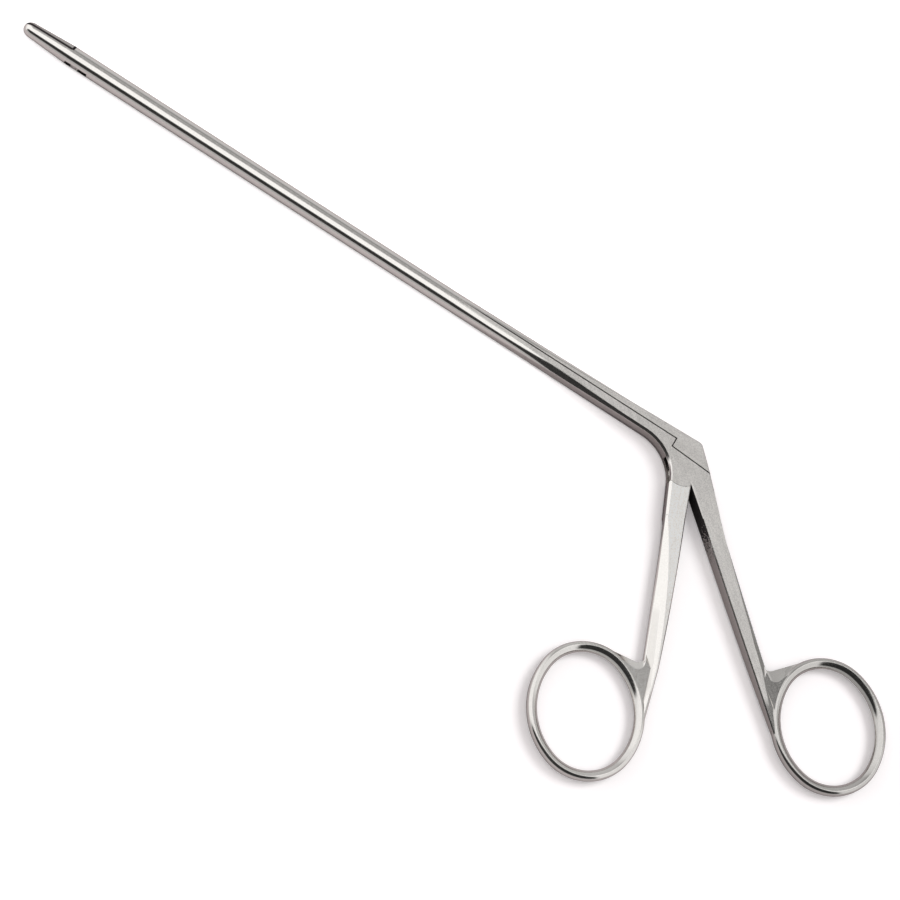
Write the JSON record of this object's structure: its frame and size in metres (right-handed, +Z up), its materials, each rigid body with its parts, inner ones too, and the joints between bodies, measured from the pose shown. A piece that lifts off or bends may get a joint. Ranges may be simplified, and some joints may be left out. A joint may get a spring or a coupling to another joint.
{
  "type": "alligator forceps",
  "caption": "Long slim ring-handled forceps whose finger handle slides one half of a split round shaft to open a small toothed jaw at the tip.",
  "frame": {"origin": "foot of the handle pivot's axis on the plane that the instrument lies on", "axes": "+X along the shaft from the jaws to the elbow, +Y from the handles to the sliding rod, +Z up from the flat side that it lies on"},
  "size_m": [0.2836, 0.0947, 0.0052],
  "materials": {
    "satin_steel": "satin ground stainless steel with a fine grain",
    "pin_steel": "stainless steel dressed flush"
  },
  "bodies": {
    "base": {"body_and_thumb_handle": "satin_steel", "handle_pivot_pin": "pin_steel", "jaw_pivot_pin": "pin_steel"},
    "rod": {"sliding_rod": "satin_steel", "drive_pin": "pin_steel", "jaw_link_pin": "pin_steel"},
    "finger_lever": {"finger_handle": "satin_steel"},
    "jaw": {"upper_jaw": "satin_steel"}
  },
  "joints": [
    {"name": "handle_swing", "type": "hinge", "parent": "base", "child": "finger_lever", "pos_m": [0, 0, 0], "axis": [0, 0, -1], "range_deg": [0, 20.6]},
    {"name": "rod_slide", "type": "slide", "parent": "base", "child": "rod", "axis": [1, 0, 0], "range_m": [0, 0.00211]},
    {"name": "jaw_swing", "type": "hinge", "parent": "base", "child": "jaw", "pos_m": [-0.1859, 0.0042, 0], "axis": [0, 0, -1], "range_deg": [0, 44.86]}
  ],
  "couplings": [
    {"joint": "rod_slide", "follows": "handle_swing", "m_per_rad": 0.0058544},
    {"joint": "jaw_swing", "follows": "handle_swing", "ratio": 2.1773}
  ]
}
